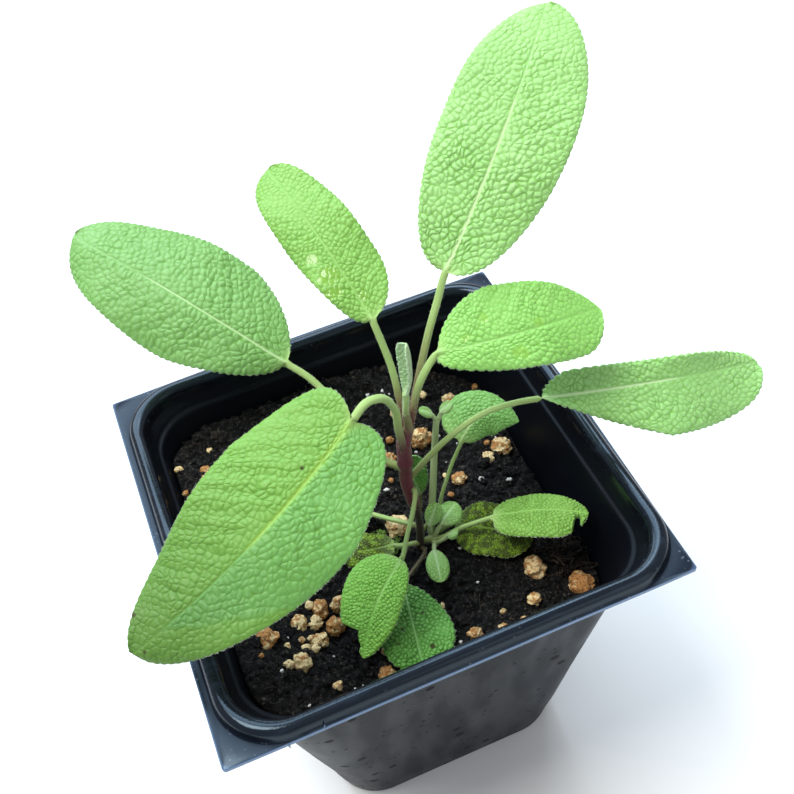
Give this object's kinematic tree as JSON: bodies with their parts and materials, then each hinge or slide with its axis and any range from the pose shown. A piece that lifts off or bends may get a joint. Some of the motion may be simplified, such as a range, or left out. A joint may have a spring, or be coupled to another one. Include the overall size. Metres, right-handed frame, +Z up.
{
  "type": "potted common sage plant",
  "caption": "Young common sage with pebbled oval leaves on long stalks round a short upright stem, growing in dark soil in a small square black nursery pot.",
  "frame": {"origin": "centre of the pot's flat base, where it rests", "axes": "+Z up; +X along the pot's front edge, to the right as seen from the front; +Y away from the front"},
  "size_m": [0.1257, 0.1011, 0.1434],
  "materials": {
    "pot_plastic": "thin formed black plastic with a dull shine",
    "soil": null,
    "stem": "soft purple stem, green below, satin",
    "leaf_bright": "downy pebbled leaf, bright yellow green",
    "leaf_deep": "downy pebbled leaf, deeper green",
    "leaf_old": "old mottled leaf, olive and brown",
    "leaf_young": "young leaf with pale down, whitish green"
  },
  "bodies": {
    "root": {"pot": "pot_plastic", "soil": "soil", "main_stem": "stem", "leaf_front_left": "leaf_bright", "leaf_back_tall": "leaf_bright", "leaf_left": "leaf_bright", "leaf_far_right": "leaf_bright", "leaf_back_left": "leaf_bright", "leaf_right": "leaf_bright", "leaf_behind_right": "leaf_deep", "leaf_low_front": "leaf_deep", "leaf_low_right": "leaf_deep", "leaf_old_right": "leaf_old", "leaf_dark_front": "leaf_deep", "leaf_low_left": "leaf_deep", "leaf_old_front": "leaf_old", "leaf_folded_dark": "leaf_deep", "leaf_apex_outer": "leaf_young", "basal_shoots": "leaf_young"}
  },
  "joints": []
}
